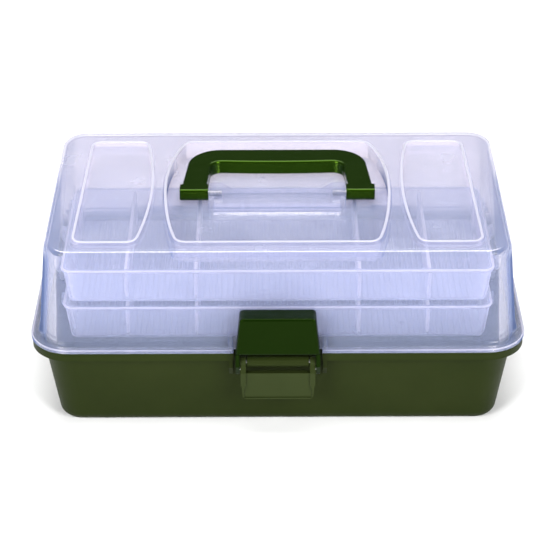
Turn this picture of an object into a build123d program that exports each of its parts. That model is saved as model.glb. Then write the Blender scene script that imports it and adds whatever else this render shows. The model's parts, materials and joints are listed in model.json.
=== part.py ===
from build123d import *
import os
from math import atan2, degrees

# Fishing tackle box: moulded base tub, see-through lid, two cantilever trays,
# folding handle and a toggle latch.
# +X right, +Y back, +Z up. Origin: centre of the flat bottom face of the base.
# All sizes in millimetres.

# ---------------------------------------------------------------- driving dimensions
WALL = 2.0                     # lid wall
TUB_WALL = 2.2                 # base wall
TUB_FLOOR = 2.5

TUB_BOT = (148.2, 84.2, 15.0)  # half width, half depth, corner radius at z = 0
TUB_TOP = (158.0, 92.0, 21.0)  # the same at z = RIM_TOP
RIM_TOP = 63.6                 # top of the base
RIM_DROP = 5.8                 # height of the base's down-turned rim
RIM_HALF = (164.4, 98.4, 26.4)
RIM_T = 2.0

SEAM = 64.0                    # underside of the lid's flange
FLANGE = (165.0, 99.0, 27.0)
FLANGE_T = 2.4
LID_BOT = (159.5, 93.4, 22.0)  # lid wall at z = SEAM
LID_TOP = (152.8, 88.3, 17.0)  # lid wall at z = LID_H
LID_H = 135.0
LID_EDGE_R = 5.0

RECESS_FLOOR = 123.0           # floor of the handle recess
POCKET_FLOOR = 132.0           # floor of the two side pockets

HINGE_Y, HINGE_Z = 103.0, 62.0
HINGE_X = 85.0
KNUCKLE_R = 3.2
HINGE_PIN_R = 1.5
RUN = 0.06                     # radial running clearance

# handle
HDL_AXIS = (5.3, 128.0)        # y, z
HDL_Z0, HDL_Z1 = 123.4, 132.8
HDL_PIN_R = 2.0
RIDGE_X = 46.8

# latch
LEV = (-99.0, 57.8)            # lever pivot y, z
HK = (-98.5, 52.0)             # hook pivot y, z
LATCH_PIN_R = 1.2
NOTCH_X = 29.4

# trays and arms
TRAY_RIM = (141.5, 57.5, 6.0)  # half width, half depth, corner radius at the rim
TRAY_BOT = (138.3, 55.7, 5.0)
TRAY_Y = -20.5                 # centre of a closed tray
TRAY_H = 25.5
TRAY_WALL = 1.8
TRAY_PITCH = 28.0
TRAY_Z0 = 61.7                 # underside of the lower tray
DIVIDER_X = (-100.0, -54.0, 54.0, 100.0)
GUIDE_X = (-21.6, 0.0, 21.6)
ARM_P1 = (-50.0, 105.0)        # arm to upper tray
ARM_P2 = (-11.6, 77.0)         # arm to lower tray
ARM_B = (26.8, 49.0)           # arm to base
ARM_R = (-3.17, 70.86)         # arm to lid link
ARM_DY = 42.0                  # rear arm is this far behind the front arm
ARM_X0, ARM_X1 = 146.2, 148.4
LINK_X0, LINK_X1 = 149.6, 151.2
LINK_Q = (76.0, 76.6)          # link to lid
RIVET_R = 1.5
ARM_W = 9.0

os.makedirs("parts", exist_ok=True)


def lerp(a, b, t):
    return tuple(p + (q - p) * t for p, q in zip(a, b))


def section(half, z):
    """Rounded rectangle of half sizes (x, y, r) on the level z."""
    with BuildSketch(Plane.XY.offset(z)) as s:
        RectangleRounded(2 * half[0], 2 * half[1], half[2])
    return s


def tub_at(z, inset=0.0):
    hx, hy, r = lerp(TUB_BOT, TUB_TOP, z / RIM_TOP)
    return (hx - inset, hy - inset, r - inset)


def lid_at(z, inset=0.0):
    hx, hy, r = lerp(LID_BOT, LID_TOP, (z - SEAM) / (LID_H - SEAM))
    return (hx - inset, hy - inset, r - inset)


def finish(bp, name):
    bp.part.label = name
    export_step(bp.part, "parts/" + name + ".step")


# ---------------------------------------------------------------- base tub
with BuildPart() as base_tub:
    with BuildSketch(Plane.XY):
        RectangleRounded(2 * TUB_BOT[0], 2 * TUB_BOT[1], TUB_BOT[2])
    with BuildSketch(Plane.XY.offset(RIM_TOP)):
        RectangleRounded(2 * TUB_TOP[0], 2 * TUB_TOP[1], TUB_TOP[2])
    loft()
    fillet(base_tub.edges().group_by(Axis.Z)[0], 8.0)
    # rim: flat top and a down-turned lip, open underneath
    with BuildSketch(Plane.XY.offset(RIM_TOP - RIM_DROP)):
        RectangleRounded(2 * RIM_HALF[0], 2 * RIM_HALF[1], RIM_HALF[2])
    extrude(amount=RIM_DROP)
    fillet(base_tub.edges().group_by(Axis.Z)[-1], 0.8)
    with BuildSketch(Plane.XY.offset(RIM_TOP - RIM_DROP)):
        RectangleRounded(2 * (RIM_HALF[0] - RIM_T), 2 * (RIM_HALF[1] - RIM_T), RIM_HALF[2] - RIM_T)
        w = tub_at(RIM_TOP - RIM_DROP / 2)
        RectangleRounded(2 * w[0], 2 * w[1], w[2], mode=Mode.SUBTRACT)
    extrude(amount=RIM_DROP - RIM_T, mode=Mode.SUBTRACT)
    # cavity
    a = tub_at(TUB_FLOOR, TUB_WALL)
    b = tub_at(RIM_TOP + 1.0, TUB_WALL)
    with BuildSketch(Plane.XY.offset(TUB_FLOOR)):
        RectangleRounded(2 * a[0], 2 * a[1], a[2])
    with BuildSketch(Plane.XY.offset(RIM_TOP + 1.0)):
        RectangleRounded(2 * b[0], 2 * b[1], b[2])
    loft(mode=Mode.SUBTRACT)
    inner_floor = base_tub.edges().filter_by_position(Axis.Z, TUB_FLOOR - 0.01, TUB_FLOOR + 0.01)
    fillet(inner_floor, 6.0)
    # front notch for the latch
    with BuildSketch(Plane.XY.offset(RIM_TOP - RIM_DROP - 1)):
        with Locations((0, -99.0)):
            Rectangle(2 * NOTCH_X, 12.6)
    extrude(amount=RIM_DROP + 2, mode=Mode.SUBTRACT)
    # latch bar and its bracket
    with BuildSketch(Plane.YZ.offset(-20.4)):
        with Locations(LEV):
            Circle(3.5)
        with Locations((-95.0, LEV[1])):
            Rectangle(8.0, 4.6)
    extrude(amount=40.8)
    # ribs either side of the latch
    for sx in (-1, 1):
        with BuildSketch(Plane.YZ.offset(sx * 31.2 - 1.3)):
            with BuildLine():
                Polyline((-90.0, 44.0), (-92.5, 44.0), (-98.0, 52.0), (-98.0, 60.0), (-90.0, 60.0), close=True)
            make_face()
        extrude(amount=2.6)
    # hinge knuckles
    for sx in (-1, 1):
        for off in (-11.0, 11.0):
            cx = sx * HINGE_X + off
            with BuildSketch(Plane.YZ.offset(cx - 3.6)):
                with Locations((HINGE_Y, HINGE_Z)):
                    Circle(KNUCKLE_R)
                with Locations(((97.2 + HINGE_Y) / 2, (58.9 + RIM_TOP) / 2)):
                    Rectangle(HINGE_Y - 97.2, RIM_TOP - 58.9)
            extrude(amount=7.2)
    # bosses for the arms
    for sx in (-1, 1):
        with Locations(*[(sx * (148.8 + 154.6) / 2, y, ARM_B[1]) for y in (ARM_B[0], ARM_B[0] + ARM_DY)]):
            Cylinder(radius=5.0, height=5.8, rotation=(0, 90, 0))
            Cylinder(radius=RIVET_R, height=5.8, rotation=(0, 90, 0), mode=Mode.SUBTRACT)
    # bores: hinge pins and latch pin
    for sx in (-1, 1):
        with Locations((sx * HINGE_X, HINGE_Y, HINGE_Z)):
            Cylinder(radius=HINGE_PIN_R, height=29.4, rotation=(0, 90, 0), mode=Mode.SUBTRACT)
    with Locations((0, LEV[0], LEV[1])):
        Cylinder(radius=LATCH_PIN_R, height=60.0, rotation=(0, 90, 0), mode=Mode.SUBTRACT)
finish(base_tub, "base_tub")


# ---------------------------------------------------------------- lid
def recess_outline(grow=0.0):
    """Barrel-shaped recess for the handle, seen from above."""
    g = grow
    pts = [(-63.5 - g, 71 + g), (-71.4 - g, 50), (-75.8 - g, 24), (-76.6 - g, 2), (-75.2 - g, -23), (-71.8 - g, -50), (-66 - g, -74.4 - g)]
    with BuildSketch(Plane.XY) as s:
        with BuildLine():
            Spline(*pts)
            Line(pts[-1], (-pts[-1][0], pts[-1][1]))
            Spline(*[(-x, y) for x, y in reversed(pts)])
            Line((-pts[0][0], pts[0][1]), pts[0])
        make_face()
        fillet(s.vertices().group_by(Axis.Y)[-1], 6.0 + g)
        fillet(s.vertices().group_by(Axis.Y)[0], 8.0 + g)
    return s.sketch


def pocket_outline(grow=0.0):
    """Right-hand side pocket, seen from above."""
    g = grow
    with BuildSketch(Plane.XY) as s:
        with BuildLine():
            Line((131.4 + g, 71 + g), (134.4 + g, -74.4 - g))
            Line((134.4 + g, -74.4 - g), (93.4 - g, -74.4 - g))
            ThreePointArc((93.4 - g, -74.4 - g), (85.6 - g, -1.0), (92.2 - g, 71 + g))
            Line((92.2 - g, 71 + g), (131.4 + g, 71 + g))
        make_face()
        fillet(s.vertices(), 7.0 + g)
    return s.sketch


# bosses inside the lid for the two links, trimmed to the lid's outer shape
with BuildPart() as link_bosses:
    a, b = lid_at(SEAM, 0.8), lid_at(LID_H, 0.8)
    with BuildSketch(Plane.XY.offset(SEAM)):
        RectangleRounded(2 * a[0], 2 * a[1], a[2])
    with BuildSketch(Plane.XY.offset(LID_H)):
        RectangleRounded(2 * b[0], 2 * b[1], b[2])
    loft()
    with Locations((-155.8, LINK_Q[0], LINK_Q[1]), (155.8, LINK_Q[0], LINK_Q[1])):
        Cylinder(radius=4.6, height=8.4, rotation=(0, 90, 0), mode=Mode.INTERSECT)

with BuildPart() as lid_shell:
    a, b = lid_at(SEAM), lid_at(LID_H)
    with BuildSketch(Plane.XY.offset(SEAM)):
        RectangleRounded(2 * a[0], 2 * a[1], a[2])
    with BuildSketch(Plane.XY.offset(LID_H)):
        RectangleRounded(2 * b[0], 2 * b[1], b[2])
    loft()
    fillet(lid_shell.edges().group_by(Axis.Z)[-1], LID_EDGE_R)
    # flange with a flared root
    with BuildSketch(Plane.XY.offset(SEAM)):
        RectangleRounded(2 * FLANGE[0], 2 * FLANGE[1], FLANGE[2])
    extrude(amount=FLANGE_T)
    root = lid_shell.edges().filter_by_position(Axis.Z, SEAM + FLANGE_T - 0.01, SEAM + FLANGE_T + 0.01)
    root = root.filter_by(lambda e: abs(e.center().X) < FLANGE[0] - 2.2 and abs(e.center().Y) < FLANGE[1] - 2.2)
    root = root.filter_by(lambda e: abs(e.center().X) + abs(e.center().Y) < 244.0)
    fillet(root, 4.0)
    # cavity
    a, b = lid_at(SEAM - 1.0, WALL), lid_at(LID_H - WALL, WALL)
    with BuildSketch(Plane.XY.offset(SEAM - 1.0)) as c0:
        RectangleRounded(2 * a[0], 2 * a[1], a[2])
    with BuildSketch(Plane.XY.offset(LID_H - WALL)) as c1:
        RectangleRounded(2 * b[0], 2 * b[1], b[2])
    loft(mode=Mode.SUBTRACT)
    fillet(lid_shell.edges().filter_by_position(Axis.Z, LID_H - WALL - 0.01, LID_H - WALL + 0.01), LID_EDGE_R - WALL)
    # handle recess: its walls and floor hang below the top panel
    extrude(recess_outline(WALL).moved(Location((0, 0, RECESS_FLOOR - WALL))), amount=LID_H - 0.6 - RECESS_FLOOR + WALL)
    extrude(recess_outline(0.0).moved(Location((0, 0, RECESS_FLOOR))), amount=20.0, mode=Mode.SUBTRACT)
    # side pockets
    right_outer = pocket_outline(WALL).moved(Location((0, 0, POCKET_FLOOR - WALL)))
    right_inner = pocket_outline(0.0).moved(Location((0, 0, POCKET_FLOOR)))
    extrude(right_outer, amount=LID_H - 0.6 - POCKET_FLOOR + WALL)
    extrude(mirror(right_outer, about=Plane.YZ, mode=Mode.PRIVATE), amount=LID_H - 0.6 - POCKET_FLOOR + WALL)
    extrude(right_inner, amount=10.0, mode=Mode.SUBTRACT)
    extrude(mirror(right_inner, about=Plane.YZ, mode=Mode.PRIVATE), amount=10.0, mode=Mode.SUBTRACT)
    # soft lips round the recess and the pockets
    lips = lid_shell.edges().filter_by_position(Axis.Z, LID_H - 0.01, LID_H + 0.01)
    lips = lips.filter_by(lambda e: abs(e.center().X) < 140.0 and abs(e.center().Y) < 79.0)
    fillet(lips, 1.0)
    # plain moulded ring in each pocket
    with BuildSketch(Plane.XY.offset(POCKET_FLOOR - 0.1)):
        with Locations((117.0, -9.0), (-117.0, -9.0)):
            Circle(8.4)
            Circle(7.4, mode=Mode.SUBTRACT)
    extrude(amount=0.6)
    # ridge that carries the handle, hollow underneath
    with BuildSketch(Plane.YZ.offset(-RIDGE_X)):
        with BuildLine():
            Polyline((-12.0, RECESS_FLOOR - 0.5), (-4.2, HDL_Z1), (12.0, HDL_Z1), (12.5, RECESS_FLOOR - 0.5), close=True)
        make_face()
    extrude(amount=2 * RIDGE_X)
    with BuildSketch(Plane.XZ.offset(20.0)):
        with BuildLine():
            Polyline((-40.0, HDL_Z1 + 1), (-30.5, 128.1), (30.5, 128.1), (40.0, HDL_Z1 + 1), close=True)
        make_face()
    extrude(amount=-40.0, mode=Mode.SUBTRACT)
    with BuildSketch(Plane.YZ.offset(-43.5)):
        with BuildLine():
            Polyline((-9.6, RECESS_FLOOR - WALL - 1), (-5.4, 125.6), (10.0, 125.6), (10.4, RECESS_FLOOR - WALL - 1), close=True)
        make_face()
    extrude(amount=87.0, mode=Mode.SUBTRACT)
    with Locations((-42.4, HDL_AXIS[0], HDL_AXIS[1]), (42.4, HDL_AXIS[0], HDL_AXIS[1])):
        Cylinder(radius=HDL_PIN_R, height=8.8, rotation=(0, 90, 0), mode=Mode.SUBTRACT)
    # notch in the flange for the latch, ears either side of it
    with BuildSketch(Plane.XY.offset(SEAM - 1)):
        with Locations((0, -100.0)):
            Rectangle(2 * NOTCH_X, 12.8)
    extrude(amount=9.0, mode=Mode.SUBTRACT)
    for sx in (-1, 1):
        with BuildSketch(Plane.YZ.offset(sx * 31.2 - 1.3)):
            with BuildLine():
                Polyline((-92.2, SEAM + 1), (-98.2, SEAM + 1), (-98.2, 73.0), (-95.5, 77.5), (-91.8, 77.5), close=True)
            make_face()
        extrude(amount=2.6)
    # hinge knuckles
    for sx in (-1, 1):
        cx = sx * HINGE_X
        with BuildSketch(Plane.YZ.offset(cx - 7.0)):
            with Locations((HINGE_Y, HINGE_Z)):
                Circle(KNUCKLE_R)
            with BuildLine():
                Polyline((97.0, SEAM), (HINGE_Y, SEAM), (HINGE_Y + 1.0, SEAM + 1.0), (97.0, SEAM + FLANGE_T), close=True)
            make_face()
        extrude(amount=14.0)
        with Locations((cx, HINGE_Y, HINGE_Z)):
            Cylinder(radius=HINGE_PIN_R + RUN, height=16.0, rotation=(0, 90, 0), mode=Mode.SUBTRACT)
    # link bosses
    add(link_bosses.part)
    with Locations((-153.6, LINK_Q[0], LINK_Q[1]), (153.6, LINK_Q[0], LINK_Q[1])):
        Cylinder(radius=RIVET_R, height=4.0, rotation=(0, 90, 0), mode=Mode.SUBTRACT)
finish(lid_shell, "lid_shell")


# ---------------------------------------------------------------- hinge pins
for side, sx in (("left", -1), ("right", 1)):
    with BuildPart() as hinge_pin:
        with Locations((sx * HINGE_X, HINGE_Y, HINGE_Z)):
            Cylinder(radius=HINGE_PIN_R, height=29.2, rotation=(0, 90, 0))
        chamfer(hinge_pin.edges(), 0.3)
    finish(hinge_pin, "hinge_pin_" + side)


# ---------------------------------------------------------------- carry handle
with BuildPart() as carry_handle:
    with BuildSketch(Plane.XY.offset(HDL_Z0)) as hs:
        # grip and legs, the grip a little thicker in the middle
        with BuildLine():
            Polyline((-66.2, 4.0), (-60.8, 63.2), (60.8, 63.2), (66.2, 4.0), close=True)
        make_face()
        fillet(hs.vertices().group_by(Axis.Y)[-1], 23.0)
        with BuildLine():
            Line((46.2, 44.8), (49.2, 3.0))
            Line((49.2, 3.0), (-49.2, 3.0))
            Line((-49.2, 3.0), (-46.2, 44.8))
            ThreePointArc((-46.2, 44.8), (0.0, 43.2), (46.2, 44.8))
        make_face(mode=Mode.SUBTRACT)
        inner_corners = hs.vertices().filter_by(lambda v: abs(v.Y - 44.8) < 0.1)
        fillet(inner_corners, 8.0)
        # square end blocks
        with Locations((-57.2, 5.2), (57.2, 5.2)):
            Rectangle(19.6, 9.0)
    extrude(amount=HDL_Z1 - HDL_Z0)
    heel = carry_handle.edges().filter_by(Axis.X).filter_by(lambda e: e.center().Y < 1.0 and e.center().Z < HDL_Z0 + 0.1)
    fillet(heel, 4.2)
    toe = carry_handle.edges().filter_by(Axis.X).filter_by(lambda e: e.center().Y < 1.0 and e.center().Z > HDL_Z1 - 0.1)
    fillet(toe, 1.9)
    top_edges = carry_handle.edges().filter_by_position(Axis.Z, HDL_Z1 - 0.01, HDL_Z1 + 0.01)
    top_edges = top_edges.filter_by(lambda e: e.center().Y > 10.5)
    fillet(top_edges, 1.8)
    with Locations((-53.4, HDL_AXIS[0], HDL_AXIS[1]), (53.4, HDL_AXIS[0], HDL_AXIS[1])):
        Cylinder(radius=HDL_PIN_R + RUN, height=13.2, rotation=(0, 90, 0), mode=Mode.SUBTRACT)
finish(carry_handle, "carry_handle")

with BuildPart() as handle_pivot_pins:
    with Locations((-48.3, HDL_AXIS[0], HDL_AXIS[1]), (48.3, HDL_AXIS[0], HDL_AXIS[1])):
        Cylinder(radius=HDL_PIN_R, height=20.4, rotation=(0, 90, 0))
finish(handle_pivot_pins, "handle_pivot_pins")


# ---------------------------------------------------------------- latch
with BuildPart() as latch_lever:
    # flap
    with BuildSketch(Plane.XZ.offset(103.9)) as fs:
        with BuildLine():
            Polyline((-24.7, 51.5), (-23.4, 31.6), (23.4, 31.6), (24.7, 51.5), close=True)
        make_face()
        fillet(fs.vertices().group_by(Axis.Y)[0], 3.0)
    extrude(amount=-2.5)
    # raised side rims
    for sx in (-1, 1):
        with BuildSketch(Plane.XZ.offset(105.1)):
            with BuildLine():
                Polyline((sx * 24.7, 51.5), (sx * 23.83, 38.0), (sx * 22.7, 38.0), (sx * 21.2, 45.0), (sx * 21.2, 51.5), close=True)
            make_face()
        extrude(amount=-3.6)
    # thin rim along the lower edge
    with BuildSketch(Plane.XZ.offset(104.6)) as ls:
        with BuildLine():
            Polyline((-23.85, 38.0), (-23.4, 31.6), (23.4, 31.6), (23.85, 38.0), close=True)
        make_face()
        fillet(ls.vertices().group_by(Axis.Y)[0], 3.0)
        with BuildLine():
            Polyline((-22.75, 38.5), (-22.4, 32.6), (22.4, 32.6), (22.75, 38.5), close=True)
        make_face(mode=Mode.SUBTRACT)
    extrude(amount=-3.0)
    # cross web below the bar
    with BuildSketch(Plane.XZ.offset(103.9)):
        with Locations((0, 50.2)):
            Rectangle(49.2, 2.6)
    extrude(amount=-3.6)
    # ears
    for x0 in (-24.7, 21.2):
        with BuildSketch(Plane.YZ.offset(x0)):
            with Locations(LEV):
                Circle(3.8)
            with Locations(HK):
                Circle(3.3)
            with BuildLine():
                Polyline((LEV[0] - 3.8, LEV[1]), (LEV[0] + 3.8, LEV[1]), (HK[0] + 3.3, HK[1]), (HK[0] + 0.6, HK[1] - 3.2), (-101.5, 42.0), (-105.1, 42.0), (-105.1, 52.0), close=True)
            make_face()
        extrude(amount=3.5)
    with Locations((0, LEV[0], LEV[1])):
        Cylinder(radius=LATCH_PIN_R + RUN, height=60.0, rotation=(0, 90, 0), mode=Mode.SUBTRACT)
    with Locations((0, HK[0], HK[1])):
        Cylinder(radius=LATCH_PIN_R + RUN, height=60.0, rotation=(0, 90, 0), mode=Mode.SUBTRACT)
finish(latch_lever, "latch_lever")

with BuildPart() as latch_hook:
    # hood: front face, top and sides, open at the back and below
    with BuildSketch(Plane.XZ.offset(104.6)) as ks:
        with BuildLine():
            Polyline((-25.0, 93.5), (-27.9, 65.6), (27.9, 65.6), (25.0, 93.5), close=True)
        make_face()
        fillet(ks.vertices().group_by(Axis.Y)[-1], 3.0)
    extrude(amount=-12.8)
    front_edges = latch_hook.edges().group_by(Axis.Y)[0]
    fillet(front_edges, 1.6)
    with BuildSketch(Plane.XZ.offset(102.3)) as ki:
        with BuildLine():
            Polyline((-22.6, 91.3), (-25.3, 65.0), (25.3, 65.0), (22.6, 91.3), close=True)
        make_face()
    extrude(amount=-12.0, mode=Mode.SUBTRACT)
    # back edge follows the slope of the lid's front wall
    with BuildSketch(Plane.YZ.offset(-30.0)):
        with BuildLine():
            Polyline((-94.2, 65.0), (-92.0, 94.0), (-90.0, 94.0), (-90.0, 65.0), close=True)
        make_face()
    extrude(amount=60.0, mode=Mode.SUBTRACT)
    # legs to the lever's ears
    for x0 in (-27.9, 25.3):
        with BuildSketch(Plane.YZ.offset(x0)):
            with Locations(HK):
                Circle(3.8)
            with BuildLine():
                Polyline((-104.6, 66.2), (-104.6, 56.6), (HK[0] - 3.2, HK[1] - 2.1), (HK[0] + 3.8, HK[1]), (HK[0] + 3.8, 66.2), close=True)
            make_face()
        extrude(amount=2.6)
    with Locations((0, HK[0], HK[1])):
        Cylinder(radius=LATCH_PIN_R, height=60.0, rotation=(0, 90, 0), mode=Mode.SUBTRACT)
finish(latch_hook, "latch_hook")

with BuildPart() as latch_lever_pin:
    with Locations((0, LEV[0], LEV[1])):
        Cylinder(radius=LATCH_PIN_R, height=49.2, rotation=(0, 90, 0))
finish(latch_lever_pin, "latch_lever_pin")

with BuildPart() as latch_hook_pins:
    with Locations((-24.6, HK[0], HK[1]), (24.6, HK[0], HK[1])):
        Cylinder(radius=LATCH_PIN_R, height=6.4, rotation=(0, 90, 0))
finish(latch_hook_pins, "latch_hook_pins")


# ---------------------------------------------------------------- trays
def tray(z0):
    z1 = z0 + TRAY_H
    with BuildPart() as t:
        with BuildSketch(Plane.XY.offset(z0)):
            with Locations((0, TRAY_Y)):
                RectangleRounded(2 * TRAY_BOT[0], 2 * TRAY_BOT[1], TRAY_BOT[2])
        with BuildSketch(Plane.XY.offset(z1)):
            with Locations((0, TRAY_Y)):
                RectangleRounded(2 * TRAY_RIM[0], 2 * TRAY_RIM[1], TRAY_RIM[2])
        loft()
        fillet(t.edges().group_by(Axis.Z)[0], 3.2)
        # rim bead
        with BuildSketch(Plane.XY.offset(z1 - 1.8)):
            with Locations((0, TRAY_Y)):
                RectangleRounded(2 * TRAY_RIM[0] + 1.6, 2 * TRAY_RIM[1] + 1.6, TRAY_RIM[2] + 0.8)
        extrude(amount=1.8)
        # cavity
        with BuildSketch(Plane.XY.offset(z0 + 1.6)):
            with Locations((0, TRAY_Y)):
                RectangleRounded(2 * (TRAY_BOT[0] - TRAY_WALL + 0.2), 2 * (TRAY_BOT[1] - TRAY_WALL + 0.2), 3.4)
        with BuildSketch(Plane.XY.offset(z1 + 0.5)):
            with Locations((0, TRAY_Y)):
                RectangleRounded(2 * (TRAY_RIM[0] - TRAY_WALL), 2 * (TRAY_RIM[1] - TRAY_WALL), 4.2)
        loft(mode=Mode.SUBTRACT)
        # fixed dividers
        with BuildSketch(Plane.XY.offset(z0 + 1.0)):
            with Locations(*[(x, TRAY_Y) for x in DIVIDER_X]):
                Rectangle(2.2, 2 * (TRAY_BOT[1] - 1.0))
        extrude(amount=TRAY_H - 2.6)
        # pairs of guide ribs for loose dividers
        with BuildSketch(Plane.XY.offset(z0 + 1.0)):
            for x in GUIDE_X:
                with Locations(*[(x + dx, TRAY_Y + sy * (TRAY_BOT[1] - 2.2)) for dx in (-2.9, 2.9) for sy in (-1, 1)]):
                    Rectangle(1.2, 4.0)
        extrude(amount=TRAY_H - 2.6)
        # bosses for the arms, one set for either level
        zb = z0 + ARM_P2[1] - TRAY_Z0
        for sx in (-1, 1):
            with Locations(*[(sx * 142.5, y, zb) for y in (ARM_P1[0], ARM_P2[0], ARM_P1[0] + ARM_DY, ARM_P2[0] + ARM_DY)]):
                Cylinder(radius=4.4, height=6.6, rotation=(0, 90, 0))
            with Locations(*[(sx * 143.2, y, zb) for y in (ARM_P1[0], ARM_P2[0], ARM_P1[0] + ARM_DY, ARM_P2[0] + ARM_DY)]):
                Cylinder(radius=RIVET_R, height=5.2, rotation=(0, 90, 0), mode=Mode.SUBTRACT)
    return t


lower_tray = tray(TRAY_Z0)
finish(lower_tray, "lower_tray")
upper_tray = tray(TRAY_Z0 + TRAY_PITCH)
finish(upper_tray, "upper_tray")


# ---------------------------------------------------------------- arms
def arm(dy, holes, press=()):
    mid = ((ARM_P1[0] + ARM_B[0]) / 2 + dy, (ARM_P1[1] + ARM_B[1]) / 2)
    d = Vector(ARM_P1[0] - ARM_B[0], ARM_P1[1] - ARM_B[1])
    ang = degrees(atan2(d.Y, d.X))
    with BuildPart() as a:
        with BuildSketch(Plane.YZ.offset(ARM_X0)):
            with Locations(mid):
                SlotCenterToCenter(d.length, ARM_W, rotation=ang)
            with Locations(*[(y + dy, z) for y, z in holes]):
                Circle(RIVET_R + RUN, mode=Mode.SUBTRACT)
            if press:
                with Locations(*[(y + dy, z) for y, z in press]):
                    Circle(RIVET_R, mode=Mode.SUBTRACT)
        extrude(amount=ARM_X1 - ARM_X0)
    return a


front_right = arm(0.0, (ARM_P1, ARM_P2, ARM_B), (ARM_R,))
rear_right = arm(ARM_DY, (ARM_P1, ARM_P2, ARM_B))
with BuildPart() as front_left:
    mirror(front_right.part, about=Plane.YZ)
with BuildPart() as rear_left:
    mirror(rear_right.part, about=Plane.YZ)
finish(front_left, "front_arm_left")
finish(front_right, "front_arm_right")
finish(rear_left, "rear_arm_left")
finish(rear_right, "rear_arm_right")


# ---------------------------------------------------------------- lid links
link_d = Vector(ARM_R[0] - LINK_Q[0], ARM_R[1] - LINK_Q[1])
with BuildPart() as link_right:
    with BuildSketch(Plane.YZ.offset(LINK_X0)):
        with Locations(((ARM_R[0] + LINK_Q[0]) / 2, (ARM_R[1] + LINK_Q[1]) / 2)):
            SlotCenterToCenter(link_d.length, 7.0, rotation=degrees(atan2(link_d.Y, link_d.X)))
        with Locations(ARM_R):
            Circle(5.9)
        with Locations(LINK_Q):
            Circle(4.2)
        with Locations(LINK_Q):
            Circle(RIVET_R + RUN, mode=Mode.SUBTRACT)
        with Locations(ARM_R):
            Circle(3.8, mode=Mode.SUBTRACT)
    extrude(amount=LINK_X1 - LINK_X0)
with BuildPart() as link_left:
    mirror(link_right.part, about=Plane.YZ)
finish(link_left, "lid_link_left")
finish(link_right, "lid_link_right")


# ---------------------------------------------------------------- rivets
def rivets(places, x_in, x_out, head_in, head_out, head_r):
    """Pins along X at (y, z) on both sides, each with a head between head_in and head_out."""
    with BuildPart() as r:
        for sx in (-1, 1):
            for y, z in places:
                with Locations((sx * (x_in + x_out) / 2, y, z)):
                    Cylinder(radius=RIVET_R, height=x_out - x_in, rotation=(0, 90, 0))
                with Locations((sx * (head_in + head_out) / 2, y, z)):
                    Cylinder(radius=head_r, height=head_out - head_in, rotation=(0, 90, 0))
    return r


rear = lambda p: (p[0] + ARM_DY, p[1])
finish(rivets((ARM_B, rear(ARM_B)), 145.2, 153.4, 145.2, 146.0, 3.0), "base_arm_rivets")
finish(rivets((ARM_P2, rear(ARM_P2)), 140.8, 149.2, 148.6, 149.2, 2.6), "lower_tray_rivets")
finish(rivets((ARM_P1, rear(ARM_P1)), 140.8, 149.2, 148.6, 149.2, 2.6), "upper_tray_rivets")
finish(rivets((LINK_Q,), 148.8, 154.6, 148.8, 149.4, 3.0), "lid_link_rivets")
finish(rivets((ARM_R,), 146.2, 152.2, 151.5, 152.2, 5.0), "arm_link_pins")
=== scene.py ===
import bpy
import bmesh
import json
import math
from mathutils import Vector, Matrix


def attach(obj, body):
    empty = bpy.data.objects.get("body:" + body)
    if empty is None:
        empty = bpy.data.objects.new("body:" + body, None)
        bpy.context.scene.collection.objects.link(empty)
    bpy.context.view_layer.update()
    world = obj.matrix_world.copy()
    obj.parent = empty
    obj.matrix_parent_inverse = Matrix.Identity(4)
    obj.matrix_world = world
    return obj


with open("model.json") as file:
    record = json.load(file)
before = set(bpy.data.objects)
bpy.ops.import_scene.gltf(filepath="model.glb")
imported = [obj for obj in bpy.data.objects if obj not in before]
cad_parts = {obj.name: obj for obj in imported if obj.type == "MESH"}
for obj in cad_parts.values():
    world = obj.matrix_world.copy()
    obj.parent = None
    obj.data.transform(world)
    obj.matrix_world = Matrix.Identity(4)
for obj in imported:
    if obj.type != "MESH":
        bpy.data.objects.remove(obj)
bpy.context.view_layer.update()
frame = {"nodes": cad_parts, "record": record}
nodes = frame["nodes"]
scene = bpy.context.scene
MM = 0.001


# ------------------------------------------------------------------ node helpers
def new_material(name):
    m = bpy.data.materials.new(name)
    m.use_nodes = True
    nt = m.node_tree
    nt.nodes.clear()
    return m, nt


def N(nt, kind, **inputs):
    n = nt.nodes.new(kind)
    for k, v in inputs.items():
        key = k.replace("_", " ")
        if key in n.inputs:
            n.inputs[key].default_value = v
        else:
            setattr(n, k, v)
    return n


def L(nt, a, out, b, inp):
    nt.links.new(a.outputs[out], b.inputs[inp])


def coords(nt):
    """Object coordinates: every piece's object sits at the origin, so these are the row frame in metres."""
    return nt.nodes.new("ShaderNodeTexCoord")


def noise(nt, tc, scale, detail=2.0, rough=0.5, stretch=None):
    n = N(nt, "ShaderNodeTexNoise", Scale=scale, Detail=detail, Roughness=rough)
    if stretch:
        mp = nt.nodes.new("ShaderNodeMapping")
        mp.inputs["Scale"].default_value = stretch
        L(nt, tc, "Object", mp, "Vector")
        L(nt, mp, "Vector", n, "Vector")
    else:
        L(nt, tc, "Object", n, "Vector")
    return n


def ramp(nt, src, out, lo, hi, vlo, vhi):
    r = nt.nodes.new("ShaderNodeMapRange")
    r.inputs["From Min"].default_value = lo
    r.inputs["From Max"].default_value = hi
    r.inputs["To Min"].default_value = vlo
    r.inputs["To Max"].default_value = vhi
    L(nt, src, out, r, "Value")
    return r


def mix_colour(nt, fac_node, fac_out, a, b):
    m = nt.nodes.new("ShaderNodeMix")
    m.data_type = "RGBA"
    m.inputs["A"].default_value = (*a, 1)
    m.inputs["B"].default_value = (*b, 1)
    nt.links.new(fac_node.outputs[fac_out], m.inputs["Factor"])
    return m


def srgb(r, g, b):
    def f(c):
        c /= 255.0
        return c / 12.92 if c <= 0.04045 else ((c + 0.055) / 1.055) ** 2.4
    return (f(r), f(g), f(b))


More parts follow.
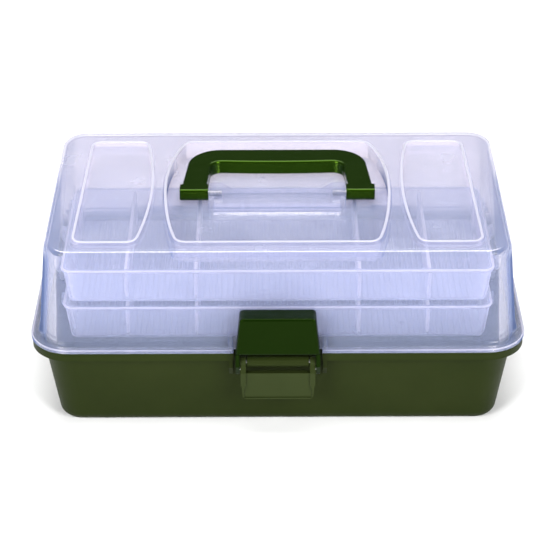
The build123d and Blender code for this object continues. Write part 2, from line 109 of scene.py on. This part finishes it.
# ------------------------------------------------------------------ materials
def moulded_solid(name, dark, light, rough, grain_scale, grain_bump, rough_var=0.06, spec=0.5, sheen_tint=(1, 1, 1), wear=0.0):
    """Opaque moulded plastic: cloudy colour, fine spark-eroded grain, uneven gloss, paler worn edges."""
    m, nt = new_material(name)
    tc = coords(nt)
    cloud = noise(nt, tc, 16.0, 4.0, 0.6)
    fac = ramp(nt, cloud, "Fac", 0.3, 0.7, 0.0, 1.0)
    col = mix_colour(nt, fac, "Result", dark, light)
    p = nt.nodes.new("ShaderNodeBsdfPrincipled")
    last = col
    if wear > 0:
        geo = nt.nodes.new("ShaderNodeNewGeometry")
        edge = ramp(nt, geo, "Pointiness", 0.53, 0.62, 0.0, wear)
        scuff = noise(nt, tc, 300.0, 3.0, 0.7)
        mult = N(nt, "ShaderNodeMath", operation="MULTIPLY")
        L(nt, edge, "Result", mult, 0)
        L(nt, scuff, "Fac", mult, 1)
        worn = nt.nodes.new("ShaderNodeMix")
        worn.data_type = "RGBA"
        L(nt, mult, "Value", worn, "Factor")
        nt.links.new(col.outputs["Result"], worn.inputs["A"])
        worn.inputs["B"].default_value = (*[min(1.0, c * 2.6 + 0.02) for c in light], 1)
        last = worn
    nt.links.new(last.outputs["Result"], p.inputs["Base Color"])
    p.inputs["IOR"].default_value = 1.49
    p.inputs["Specular IOR Level"].default_value = spec
    p.inputs["Specular Tint"].default_value = (*sheen_tint, 1)
    smudge = noise(nt, tc, 45.0, 3.0, 0.55)
    rr = ramp(nt, smudge, "Fac", 0.25, 0.75, rough - rough_var, rough + rough_var)
    L(nt, rr, "Result", p, "Roughness")
    grain = noise(nt, tc, grain_scale, 2.0, 0.6)
    b1 = N(nt, "ShaderNodeBump", Strength=grain_bump, Distance=0.0002)
    L(nt, grain, "Fac", b1, "Height")
    wave = noise(nt, tc, 28.0, 2.0, 0.5)
    b2 = N(nt, "ShaderNodeBump", Strength=0.06, Distance=0.001)
    L(nt, wave, "Fac", b2, "Height")
    L(nt, b1, "Normal", b2, "Normal")
    L(nt, b2, "Normal", p, "Normal")
    out = nt.nodes.new("ShaderNodeOutputMaterial")
    L(nt, p, "BSDF", out, "Surface")
    return m


def milky(name, thin, thick, tint, solid, edge_solid, rough=0.2, streak=(1, 1, 1), bump=0.05, gloss=0.6, through=0.5,
          side_shade=False, power=4.0):
    """Natural polypropylene: a see-through skin whose haze is bluish where thin and white where the eye meets it edge on."""
    m, nt = new_material(name)
    tc = coords(nt)
    clear = nt.nodes.new("ShaderNodeBsdfTransparent")
    clear.inputs["Color"].default_value = (*tint, 1)
    lw = N(nt, "ShaderNodeLayerWeight", Blend=0.5)
    edge = N(nt, "ShaderNodeMath", operation="POWER")
    edge.inputs[1].default_value = power
    L(nt, lw, "Facing", edge, 0)
    cloud = noise(nt, tc, 9.0, 3.0, 0.55, streak)
    cf = ramp(nt, cloud, "Fac", 0.3, 0.7, 0.94, 1.04)
    col = mix_colour(nt, edge, "Value", thin, thick)
    vary = N(nt, "ShaderNodeVectorMath", operation="SCALE")
    painted_shade_mask = None
    if side_shade:
        # painted shade: looked along, the front, lower part of the two end walls gets a dark steel-blue colour
        # painted in for the shade of the tub below them
        geo = nt.nodes.new("ShaderNodeNewGeometry")
        sn = nt.nodes.new("ShaderNodeSeparateXYZ")
        L(nt, geo, "Normal", sn, "Vector")
        sp_ = nt.nodes.new("ShaderNodeSeparateXYZ")
        L(nt, tc, "Object", sp_, "Vector")
        sgn = N(nt, "ShaderNodeMath", operation="SIGN")
        L(nt, sp_, "X", sgn, 0)
        prod = N(nt, "ShaderNodeMath", operation="MULTIPLY")
        L(nt, sn, "X", prod, 0)
        L(nt, sgn, "Value", prod, 1)
        flat = N(nt, "ShaderNodeMath", operation="ABSOLUTE")
        L(nt, prod, "Value", flat, 0)
        upright = ramp(nt, flat, "Value", 0.55, 0.85, 0.0, 1.0)
        along = ramp(nt, lw, "Facing", 0.45, 0.70, 0.0, 1.0)
        wall = N(nt, "ShaderNodeMath", operation="MULTIPLY")
        L(nt, upright, "Result", wall, 0)
        L(nt, along, "Result", wall, 1)
        front = ramp(nt, sp_, "Y", 0.055, 0.035, 0.0, 1.0)
        low = ramp(nt, sp_, "Z", 0.133, 0.124, 0.0, 1.0)
        i1 = N(nt, "ShaderNodeMath", operation="MULTIPLY")
        L(nt, wall, "Value", i1, 0)
        L(nt, front, "Result", i1, 1)
        painted_shade_mask = N(nt, "ShaderNodeMath", operation="MULTIPLY")
        L(nt, i1, "Value", painted_shade_mask, 0)
        L(nt, low, "Result", painted_shade_mask, 1)
        # painted shade: mix the dark steel blue into the haze colour where the mask is set
        shade = nt.nodes.new("ShaderNodeMix")
        shade.data_type = "RGBA"
        L(nt, painted_shade_mask, "Value", shade, "Factor")
        nt.links.new(col.outputs["Result"], shade.inputs["A"])
        shade.inputs["B"].default_value = (0.12, 0.18, 0.37, 1)
        nt.links.new(shade.outputs["Result"], vary.inputs[0])
    else:
        nt.links.new(col.outputs["Result"], vary.inputs[0])
    L(nt, cf, "Result", vary, "Scale")
    smudge = noise(nt, tc, 30.0, 3.0, 0.6)
    rr = ramp(nt, smudge, "Fac", 0.25, 0.75, rough - 0.05, rough + 0.07)
    wave = noise(nt, tc, 22.0, 2.0, 0.5, streak)
    b = N(nt, "ShaderNodeBump", Strength=bump, Distance=0.001)
    L(nt, wave, "Fac", b, "Height")
    fine = noise(nt, tc, 900.0, 2.0, 0.6)
    b2 = N(nt, "ShaderNodeBump", Strength=0.05, Distance=0.0001)
    L(nt, fine, "Fac", b2, "Height")
    L(nt, b, "Normal", b2, "Normal")
    df = nt.nodes.new("ShaderNodeBsdfDiffuse")
    L(nt, vary, "Vector", df, "Color")
    L(nt, b2, "Normal", df, "Normal")
    tr = nt.nodes.new("ShaderNodeBsdfTranslucent")
    L(nt, vary, "Vector", tr, "Color")
    body = nt.nodes.new("ShaderNodeMixShader")
    body.inputs["Fac"].default_value = through
    L(nt, df, "BSDF", body, 1)
    L(nt, tr, "BSDF", body, 2)
    f = ramp(nt, edge, "Value", 0.0, 1.0, solid, edge_solid)
    mix = nt.nodes.new("ShaderNodeMixShader")
    # where the painted shade lies, the wall is made more opaque so the painted shade shows
    if painted_shade_mask is not None:
        f2 = N(nt, "ShaderNodeMix")
        L(nt, painted_shade_mask, "Value", f2, "Factor")
        nt.links.new(f.outputs["Result"], f2.inputs["A"])
        f2.inputs["B"].default_value = 0.8
        nt.links.new(f2.outputs["Result"], mix.inputs["Fac"])
    else:
        L(nt, f, "Result", mix, "Fac")
    L(nt, clear, "BSDF", mix, 1)
    L(nt, body, "Shader", mix, 2)
    gl = nt.nodes.new("ShaderNodeBsdfGlossy")
    gl.inputs["Color"].default_value = (1, 1, 1, 1)
    L(nt, rr, "Result", gl, "Roughness")
    L(nt, b, "Normal", gl, "Normal")
    fr = N(nt, "ShaderNodeFresnel", IOR=1.45)
    ff = N(nt, "ShaderNodeMath", operation="MULTIPLY")
    ff.inputs[1].default_value = gloss
    L(nt, fr, "Fac", ff, 0)
    top = nt.nodes.new("ShaderNodeMixShader")
    # where the painted shade lies, the gloss is cut so the painted shade stays dark
    if painted_shade_mask is not None:
        dull = ramp(nt, painted_shade_mask, "Value", 0.0, 1.0, 1.0, 0.12)
        fd = N(nt, "ShaderNodeMath", operation="MULTIPLY")
        L(nt, ff, "Value", fd, 0)
        L(nt, dull, "Result", fd, 1)
        L(nt, fd, "Value", top, "Fac")
    else:
        L(nt, ff, "Value", top, "Fac")
    L(nt, mix, "Shader", top, 1)
    L(nt, gl, "BSDF", top, 2)
    out = nt.nodes.new("ShaderNodeOutputMaterial")
    L(nt, top, "Shader", out, "Surface")
    return m


def steel(name):
    m, nt = new_material(name)
    tc = coords(nt)
    p = nt.nodes.new("ShaderNodeBsdfPrincipled")
    cloud = noise(nt, tc, 120.0, 3.0, 0.6)
    cf = ramp(nt, cloud, "Fac", 0.3, 0.7, 0.0, 1.0)
    col = mix_colour(nt, cf, "Result", (0.42, 0.42, 0.43), (0.58, 0.58, 0.6))
    nt.links.new(col.outputs["Result"], p.inputs["Base Color"])
    p.inputs["Metallic"].default_value = 1.0
    turned = noise(nt, tc, 500.0, 2.0, 0.5, (12, 1, 1))
    rr = ramp(nt, turned, "Fac", 0.3, 0.7, 0.22, 0.42)
    L(nt, rr, "Result", p, "Roughness")
    b = N(nt, "ShaderNodeBump", Strength=0.15, Distance=0.0001)
    L(nt, turned, "Fac", b, "Height")
    L(nt, b, "Normal", p, "Normal")
    out = nt.nodes.new("ShaderNodeOutputMaterial")
    L(nt, p, "BSDF", out, "Surface")
    return m


GREEN_BASE = moulded_solid("base_green", (0.0094, 0.0152, 0.0020), (0.0132, 0.0197, 0.0032), 0.5, 1500.0, 0.35, spec=0.12, sheen_tint=(0.9, 1.0, 0.55))
GREEN_HANDLE = moulded_solid("handle_green", (0.0048, 0.0142, 0.0006), (0.0062, 0.0168, 0.0008), 0.16, 2600.0, 0.05, 0.05, spec=0.62, sheen_tint=(0.42, 0.9, 0.06))
# painted light: the latch hood and lever share one green, drawn as a darker, shaded copy for the hood and a lighter,
# lit copy for the lever
GREEN_LATCH_SHADED = moulded_solid("latch_green_shaded", (0.0022, 0.0070, 0.0005), (0.0028, 0.0082, 0.0007), 0.22, 2400.0, 0.06, 0.05, spec=0.11, sheen_tint=(0.42, 0.9, 0.1))
GREEN_LATCH_LIT = moulded_solid("latch_green_lit", (0.0135, 0.0195, 0.0042), (0.0170, 0.0235, 0.0056), 0.36, 2400.0, 0.10, 0.05, spec=0.22, sheen_tint=(0.8, 1.0, 0.5))
LID = milky("lid_clear", (0.55, 0.655, 0.97), (0.90, 0.88, 0.97), (1.0, 0.966, 0.968), 0.18, 0.75, 0.22, gloss=0.42, side_shade=True, power=4.5)
TRAY = milky("tray_clear", (0.70, 0.79, 1.0), (0.93, 0.92, 0.99), (0.975, 0.975, 1.0), 0.25, 0.9, 0.25, (1, 6, 1), 0.08, 0.4, 0.3, power=3.0)
ARM = milky("arm_plastic", (0.65, 0.67, 0.72), (0.8, 0.8, 0.82), (0.95, 0.96, 1.0), 0.8, 0.95, 0.3)
STEEL = steel("pin_steel")
SLOT = {"base_green": GREEN_BASE, "handle_green": GREEN_HANDLE, "latch_green": GREEN_LATCH_SHADED,
        "lid_clear": LID, "tray_clear": TRAY, "arm_plastic": ARM, "pin_steel": STEEL}
for sp in frame["record"]["subparts"]:
    o = nodes[sp["node"]]
    # painted light: the latch lever takes the lighter, lit copy of the latch green
    mat = GREEN_LATCH_LIT if sp["node"] == "latch_lever" else SLOT[sp["material_slot"]]
    if not o.material_slots:
        o.data.materials.append(mat)
    for s in o.material_slots:
        s.material = mat


# ------------------------------------------------------------------ ribbed floors of the trays
def floor_ribs(name, body, z0):
    """Low rounded ribs moulded front to back across a tray's floor, 3.9 mm apart, clear of the dividers."""
    me = bpy.data.meshes.new(name)
    bm = bmesh.new()
    y0, y1 = -20.5 - 52.6, -20.5 + 52.6
    zf = z0 + 1.6
    sect = [(-0.95, -0.15), (-0.62, 0.30), (-0.22, 0.52), (0.22, 0.52), (0.62, 0.30), (0.95, -0.15)]
    i = -34
    while i <= 34:
        x = i * 3.9 + 1.95
        i += 1
        if abs(x) > 133.5 or min(abs(abs(x) - d) for d in (54.0, 100.0)) < 2.4:
            continue
        if min(abs(abs(x) - d) for d in (0.0, 21.6)) < 4.6:
            ya, yb = y0 + 3.4, y1 - 3.4
        else:
            ya, yb = y0, y1
        steps = [(ya, 0.25), (ya + 0.8, 0.85), (ya + 2.0, 1.0), ((ya + yb) / 2, 1.0), (yb - 2.0, 1.0), (yb - 0.8, 0.85), (yb, 0.25)]
        loops = [[bm.verts.new(((x + dx * (0.6 + 0.4 * k)) * MM, y * MM, (zf + (dz * k if dz > 0 else dz)) * MM)) for dx, dz in sect] for y, k in steps]
        n = len(sect)
        for a, b in zip(loops, loops[1:]):
            for j in range(n):
                f = bm.faces.new((a[j], a[(j + 1) % n], b[(j + 1) % n], b[j]))
                f.smooth = True
        bm.faces.new(loops[0][::-1])
        bm.faces.new(loops[-1])
    bmesh.ops.recalc_face_normals(bm, faces=bm.faces)
    bm.to_mesh(me)
    bm.free()
    o = bpy.data.objects.new(name, me)
    scene.collection.objects.link(o)
    me.materials.append(RIB)
    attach(o, body)
    return o


RIB = milky("rib_clear", (0.80, 0.86, 1.0), (0.92, 0.93, 0.98), (0.97, 0.97, 0.98), 0.30, 0.8, 0.25, (1, 6, 1), 0.05, 0.4)
floor_ribs("upper_tray_floor_ribs", "upper_tray", 89.7)
floor_ribs("lower_tray_floor_ribs", "lower_tray", 61.7)


# ------------------------------------------------------------------ thick rims that catch the light, in a whiter plastic that paints in the bright edge highlights
RECESS_EDGE = [(-65.18,67.49), (-66.15,65.3), (-67.07,63.09), (-67.93,60.86), (-68.75,58.61), (-69.52,56.34), (-70.24,54.06), (-70.92,51.76),
    (-71.54,49.46), (-72.13,47.13), (-72.67,44.8), (-73.17,42.46), (-73.63,40.11), (-74.05,37.76), (-74.43,35.39), (-74.78,33.03), (-75.09,30.65),
    (-75.37,28.28), (-75.62,25.9), (-75.84,23.51), (-76.03,21.13), (-76.2,18.74), (-76.33,16.35), (-76.44,13.96), (-76.53,11.57), (-76.58,9.17),
    (-76.61,6.78), (-76.62,4.39), (-76.6,2.0), (-76.56,-0.4), (-76.49,-2.79), (-76.4,-5.18), (-76.3,-7.57), (-76.17,-9.96), (-76.02,-12.35),
    (-75.86,-14.74), (-75.69,-17.13), (-75.5,-19.51), (-75.3,-21.9), (-75.08,-24.28), (-74.86,-26.66), (-74.62,-29.05), (-74.37,-31.43),
    (-74.11,-33.81), (-73.83,-36.18), (-73.53,-38.56), (-73.21,-40.93), (-72.88,-43.3), (-72.52,-45.66), (-72.14,-48.03), (-71.73,-50.39),
    (-71.3,-52.74), (-70.85,-55.09), (-70.37,-57.44), (-69.86,-59.77), (-69.32,-62.11), (-68.76,-64.43), (-68.17,-66.75), (-67.53,-69.06),
    (-66.41,-71.16), (-64.72,-72.85), (-62.61,-73.96), (-60.27,-74.39), (-57.87,-74.4), (-55.48,-74.4), (-53.09,-74.4), (-50.69,-74.4), (-48.3,-74.4),
    (-45.91,-74.4), (-43.51,-74.4), (-41.12,-74.4), (-38.73,-74.4), (-36.33,-74.4), (-33.94,-74.4), (-31.55,-74.4), (-29.15,-74.4), (-26.76,-74.4),
    (-24.37,-74.4), (-21.97,-74.4), (-19.58,-74.4), (-17.19,-74.4), (-14.79,-74.4), (-12.4,-74.4), (-10.01,-74.4), (-7.61,-74.4), (-5.22,-74.4),
    (-2.83,-74.4), (-0.43,-74.4), (1.96,-74.4), (4.35,-74.4), (6.75,-74.4), (9.14,-74.4), (11.53,-74.4), (13.93,-74.4), (16.32,-74.4), (18.71,-74.4),
    (21.11,-74.4), (23.5,-74.4), (25.89,-74.4), (28.29,-74.4), (30.68,-74.4), (33.07,-74.4), (35.47,-74.4), (37.86,-74.4), (40.25,-74.4),
    (42.65,-74.4), (45.04,-74.4), (47.43,-74.4), (49.83,-74.4), (52.22,-74.4), (54.62,-74.4), (57.01,-74.4), (59.4,-74.4), (61.78,-74.2),
    (64.0,-73.32), (65.86,-71.83), (67.2,-69.86), (67.95,-67.59), (68.55,-65.27), (69.12,-62.95), (69.67,-60.62), (70.18,-58.28), (70.68,-55.94),
    (71.14,-53.59), (71.58,-51.24), (71.99,-48.88), (72.38,-46.52), (72.75,-44.15), (73.09,-41.79), (73.42,-39.41), (73.72,-37.04), (74.01,-34.67),
    (74.28,-32.29), (74.54,-29.91), (74.78,-27.53), (75.0,-25.14), (75.22,-22.76), (75.43,-20.38), (75.62,-17.99), (75.8,-15.6), (75.97,-13.22),
    (76.12,-10.83), (76.25,-8.44), (76.37,-6.05), (76.46,-3.66), (76.54,-1.26), (76.59,1.13), (76.61,3.52), (76.62,5.92), (76.6,8.31), (76.55,10.7),
    (76.48,13.09), (76.38,15.49), (76.25,17.88), (76.1,20.26), (75.92,22.65), (75.71,25.04), (75.47,27.42), (75.2,29.79), (74.9,32.17), (74.56,34.54),
    (74.19,36.9), (73.78,39.26), (73.34,41.61), (72.85,43.96), (72.33,46.29), (71.76,48.62), (71.15,50.93), (70.49,53.23), (69.79,55.52),
    (69.04,57.79), (68.24,60.05), (67.39,62.29), (66.49,64.5), (65.54,66.7), (64.38,68.78), (62.54,70.3), (60.27,70.98), (57.87,71.0), (55.48,71.0),
    (53.09,71.0), (50.69,71.0), (48.3,71.0), (45.91,71.0), (43.51,71.0), (41.12,71.0), (38.73,71.0), (36.33,71.0), (33.94,71.0), (31.55,71.0),
    (29.15,71.0), (26.76,71.0), (24.37,71.0), (21.97,71.0), (19.58,71.0), (17.19,71.0), (14.79,71.0), (12.4,71.0), (10.01,71.0), (7.61,71.0),
    (5.22,71.0), (2.83,71.0), (0.43,71.0), (-1.96,71.0), (-4.35,71.0), (-6.75,71.0), (-9.14,71.0), (-11.53,71.0), (-13.93,71.0), (-16.32,71.0),
    (-18.71,71.0), (-21.11,71.0), (-23.5,71.0), (-25.89,71.0), (-28.29,71.0), (-30.68,71.0), (-33.07,71.0), (-35.47,71.0), (-37.86,71.0),
    (-40.25,71.0), (-42.65,71.0), (-45.04,71.0), (-47.43,71.0), (-49.83,71.0), (-52.22,71.0), (-54.62,71.0), (-57.01,71.0), (-59.4,71.0),
    (-61.75,70.65), (-63.79,69.41)]
POCKET_EDGE = [(91.14,65.21), (91.82,67.22), (93.07,68.93), (94.77,70.19), (96.78,70.89), (98.9,71.0), (101.03,71.0), (103.16,71.0), (105.29,71.0),
    (107.42,71.0), (109.55,71.0), (111.69,71.0), (113.82,71.0), (115.95,71.0), (118.08,71.0), (120.21,71.0), (122.34,71.0), (124.47,71.0),
    (126.57,70.7), (128.48,69.79), (130.04,68.34), (131.08,66.49), (131.53,64.42), (131.58,62.29), (131.62,60.16), (131.67,58.03), (131.71,55.9),
    (131.76,53.77), (131.8,51.64), (131.84,49.51), (131.89,47.38), (131.93,45.25), (131.98,43.12), (132.02,40.99), (132.06,38.86), (132.11,36.73),
    (132.15,34.6), (132.19,32.47), (132.24,30.34), (132.28,28.21), (132.33,26.08), (132.37,23.95), (132.41,21.82), (132.46,19.69), (132.5,17.56),
    (132.55,15.43), (132.59,13.3), (132.63,11.17), (132.68,9.04), (132.72,6.91), (132.77,4.78), (132.81,2.65), (132.85,0.52), (132.9,-1.61),
    (132.94,-3.74), (132.99,-5.87), (133.03,-8.0), (133.07,-10.13), (133.12,-12.26), (133.16,-14.39), (133.21,-16.52), (133.25,-18.65),
    (133.29,-20.78), (133.34,-22.91), (133.38,-25.04), (133.43,-27.17), (133.47,-29.3), (133.51,-31.43), (133.56,-33.56), (133.6,-35.69),
    (133.65,-37.82), (133.69,-39.95), (133.73,-42.08), (133.78,-44.21), (133.82,-46.34), (133.86,-48.47), (133.91,-50.6), (133.95,-52.73),
    (134.0,-54.86), (134.04,-56.99), (134.08,-59.12), (134.13,-61.25), (134.17,-63.38), (134.22,-65.51), (134.25,-67.64), (133.86,-69.72),
    (132.86,-71.59), (131.34,-73.08), (129.45,-74.05), (127.36,-74.4), (125.23,-74.4), (123.1,-74.4), (120.97,-74.4), (118.84,-74.4), (116.71,-74.4),
    (114.58,-74.4), (112.45,-74.4), (110.32,-74.4), (108.19,-74.4), (106.06,-74.4), (103.93,-74.4), (101.8,-74.4), (99.67,-74.4), (97.55,-74.22),
    (95.58,-73.43), (93.94,-72.09), (92.77,-70.31), (92.18,-68.27), (91.78,-66.18), (91.4,-64.08), (91.03,-61.99), (90.67,-59.89), (90.33,-57.78),
    (90.0,-55.68), (89.67,-53.57), (89.37,-51.47), (89.07,-49.36), (88.78,-47.24), (88.51,-45.13), (88.25,-43.02), (88.0,-40.9), (87.77,-38.78),
    (87.54,-36.67), (87.33,-34.55), (87.13,-32.42), (86.94,-30.3), (86.77,-28.18), (86.6,-26.06), (86.45,-23.93), (86.31,-21.8), (86.19,-19.68),
    (86.07,-17.55), (85.97,-15.42), (85.88,-13.29), (85.8,-11.17), (85.74,-9.04), (85.68,-6.91), (85.64,-4.78), (85.61,-2.65), (85.6,-0.52),
    (85.59,1.61), (85.6,3.75), (85.62,5.88), (85.65,8.01), (85.7,10.14), (85.75,12.27), (85.82,14.39), (85.91,16.52), (86.0,18.65), (86.1,20.78),
    (86.22,22.91), (86.35,25.03), (86.5,27.16), (86.65,29.28), (86.82,31.41), (87.0,33.53), (87.19,35.65), (87.39,37.77), (87.61,39.89),
    (87.83,42.01), (88.07,44.13), (88.33,46.24), (88.59,48.36), (88.87,50.47), (89.15,52.58), (89.45,54.69), (89.77,56.8), (90.09,58.9), (90.43,61.0),
    (90.78,63.11)]


def strip(name, body, paths, wide, high, mat, closed=True, sides=10):
    """Rounded strips following paths of points in millimetres; wide lies across the path, high along its normal."""
    me = bpy.data.meshes.new(name)
    bm = bmesh.new()
    for pts, normal in paths:
        P = [Vector(p) for p in pts]
        n = len(P)
        rings = []
        for k in range(n):
            if closed:
                t = (P[(k + 1) % n] - P[k - 1]).normalized()
            else:
                t = (P[min(k + 1, n - 1)] - P[max(k - 1, 0)]).normalized()
            nz = Vector(normal[k]) if isinstance(normal, list) else Vector(normal)
            side = t.cross(nz).normalized()
            nz = side.cross(t).normalized()
            end = 1.0
            if not closed and k in (0, n - 1):
                end = 0.45
            ring = []
            for j in range(sides):
                a = 2 * math.pi * j / sides
                ring.append(bm.verts.new((P[k] + side * (math.cos(a) * wide / 2 * end) + nz * (math.sin(a) * high / 2 * end)) * MM))
            rings.append(ring)
        last = n if closed else n - 1
        for k in range(last):
            a, b = rings[k], rings[(k + 1) % n]
            for j in range(sides):
                f = bm.faces.new((a[j], a[(j + 1) % sides], b[(j + 1) % sides], b[j]))
                f.smooth = True
        if not closed:
            bm.faces.new(rings[0][::-1])
            bm.faces.new(rings[-1])
    bmesh.ops.recalc_face_normals(bm, faces=bm.faces)
    bm.to_mesh(me)
    bm.free()
    o = bpy.data.objects.new(name, me)
    scene.collection.objects.link(o)
    me.materials.append(mat)
    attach(o, body)
    return o


def rounded(hx, hy, r, cy, z, n=10):
    pts = []
    for cx, cyy, a0 in ((hx - r, hy - r, 0), (-hx + r, hy - r, 90), (-hx + r, -hy + r, 180), (hx - r, -hy + r, 270)):
        for i in range(n + 1):
            a = math.radians(a0 + 90.0 * i / n)
            pts.append((cx + r * math.cos(a), cy + cyy + r * math.sin(a), z))
    return pts


# painted highlight: the lid's lip beads get a whiter, more opaque plastic than the lid, so they read as bright edge
# lines
LIP_HIGHLIGHT = milky("lip_painted_highlight", (0.90, 0.90, 1.0), (0.97, 0.96, 1.0), (1.0, 0.98, 0.98), 0.42, 0.9, 0.14, power=2.0)
UP = (0, 0, 1)
strip("lid_recess_lip", "lid", [([(x, y, 134.75) for x, y in RECESS_EDGE], UP)], 1.9, 1.1, LIP_HIGHLIGHT)
strip("lid_pocket_lip_right", "lid", [([(x, y, 134.75) for x, y in POCKET_EDGE], UP)], 1.8, 1.1, LIP_HIGHLIGHT)
strip("lid_pocket_lip_left", "lid", [([(-x, y, 134.75) for x, y in reversed(POCKET_EDGE)], UP)], 1.8, 1.1, LIP_HIGHLIGHT)
half = rounded(164.45, 98.45, 26.45, 0, 65.95)
turn = 33
loop = half[turn:] + half[:turn]
strip("lid_flange_lip", "lid", [([(30.2, -98.45, 65.95)] + loop[:] + [(-30.2, -98.45, 65.95)], UP)], 1.0, 1.0, LIP_HIGHLIGHT, closed=False)
# painted highlight: the tray rim beads and divider edges get a whiter, more opaque plastic than the trays, so they
# read as bright lines
RIM_HIGHLIGHT = milky("rim_painted_highlight", (0.95, 0.95, 1.0), (0.98, 0.97, 1.0), (1.0, 0.99, 1.0), 0.62, 0.92, 0.2, power=2.0)
for tray, z0 in (("upper_tray", 89.7), ("lower_tray", 61.7)):
    zt = z0 + 25.5
    strip(tray + "_rim_bead", tray, [(rounded(141.9, 57.9, 6.4, -20.5, zt - 0.35), UP)], 1.8, 1.2, RIM_HIGHLIGHT)
    paths = []
    for x in (-100.0, -54.0, 54.0, 100.0):
        zd = zt - 1.75
        pts = [(x, 34.6, zd), (x, 34.0, zd), (x, -20.0, zd), (x, -73.5, zd), (x, -75.3, zd - 0.4), (x, -76.2, zd - 2.2), (x, -75.9, z0 + 12.0), (x, -75.5, z0 + 5.0), (x, -75.4, z0 + 4.0)]
        nrm = [UP, UP, UP, UP, (0, -0.6, 0.8), (0, -1, 0.1), (0, -1, 0), (0, -1, 0), (0, -1, 0)]
        paths.append((pts, nrm))
    strip(tray + "_divider_edges", tray, paths, 2.4, 0.9, RIM_HIGHLIGHT, closed=False)


# ------------------------------------------------------------------ stage
def stage_floor():
    me = bpy.data.meshes.new("floor")
    bm = bmesh.new()
    rows = [[bm.verts.new((x, y, 0.0)) for x in (-3.0, -1.0, 1.0, 3.0)] for y in (-3.0, -1.0, 1.0, 3.0)]
    for a, b in zip(rows, rows[1:]):
        for i in range(3):
            bm.faces.new((a[i], a[i + 1], b[i + 1], b[i]))
    bm.to_mesh(me)
    bm.free()
    o = bpy.data.objects.new("floor", me)
    scene.collection.objects.link(o)
    m, nt = new_material("floor_paper")
    tc = coords(nt)
    p = nt.nodes.new("ShaderNodeBsdfPrincipled")
    n = noise(nt, tc, 40.0, 3.0)
    r = ramp(nt, n, "Fac", 0.3, 0.7, 0.0, 1.0)
    c = mix_colour(nt, r, "Result", (0.88, 0.88, 0.88), (0.9, 0.9, 0.9))
    nt.links.new(c.outputs["Result"], p.inputs["Base Color"])
    p.inputs["Roughness"].default_value = 0.95
    p.inputs["Specular IOR Level"].default_value = 0.0
    out = nt.nodes.new("ShaderNodeOutputMaterial")
    L(nt, p, "BSDF", out, "Surface")
    me.materials.append(m)
    return o


stage_floor()


def area(name, loc, target, size, power, colour=(1, 1, 1), size_y=None):
    d = bpy.data.lights.new(name, "AREA")
    d.shape = "RECTANGLE"
    d.size = size
    d.size_y = size_y or size
    d.energy = power
    d.color = colour
    o = bpy.data.objects.new(name, d)
    scene.collection.objects.link(o)
    o.location = loc
    o.rotation_euler = (Vector(target) - Vector(loc)).to_track_quat("-Z", "Y").to_euler()
    return o


area("key_left", (-1.1, -1.35, 0.95), (0, 0, 0.06), 0.75, 40.0)
area("key_right", (1.1, -1.35, 0.95), (0, 0, 0.06), 0.75, 37.0)
area("top_soft", (0.0, 0.0, 1.7), (0, 0, 0.05), 1.1, 20.0)
area("back_top", (0.0, 1.0, 1.5), (0, 0.85, 0.0), 1.4, 17.0, size_y=0.9)

world = bpy.data.worlds.new("studio")
scene.world = world
world.use_nodes = True
bg = world.node_tree.nodes["Background"]
bg.inputs["Color"].default_value = (1, 1, 1, 1)
bg.inputs["Strength"].default_value = 0.06

scene.view_settings.view_transform = "Standard"
scene.view_settings.look = "None"
scene.view_settings.exposure = 0.0

# ------------------------------------------------------------------ camera
EL, DIST, FPX, ROLL, TX, TZ = 30.5, 1.376, 1959.0, -0.20, -0.0014, 0.0653
el = math.radians(EL)
fwd = Vector((0, math.cos(el), -math.sin(el)))
right = Vector((1, 0, 0))
up = right.cross(fwd)
r = math.radians(ROLL)
right2 = right * math.cos(r) + up * math.sin(r)
up2 = up * math.cos(r) - right * math.sin(r)
cam_data = bpy.data.cameras.new("camera")
cam_data.sensor_fit = "HORIZONTAL"
cam_data.sensor_width = 36.0
cam_data.lens = FPX / 551.0 * 36.0
cam_data.clip_start = 0.05
cam = bpy.data.objects.new("camera", cam_data)
scene.collection.objects.link(cam)
rot = Matrix((right2, up2, -fwd)).transposed()
cam.matrix_world = Matrix.Translation(Vector((TX, 0, TZ)) - fwd * DIST) @ rot.to_4x4()
scene.camera = cam
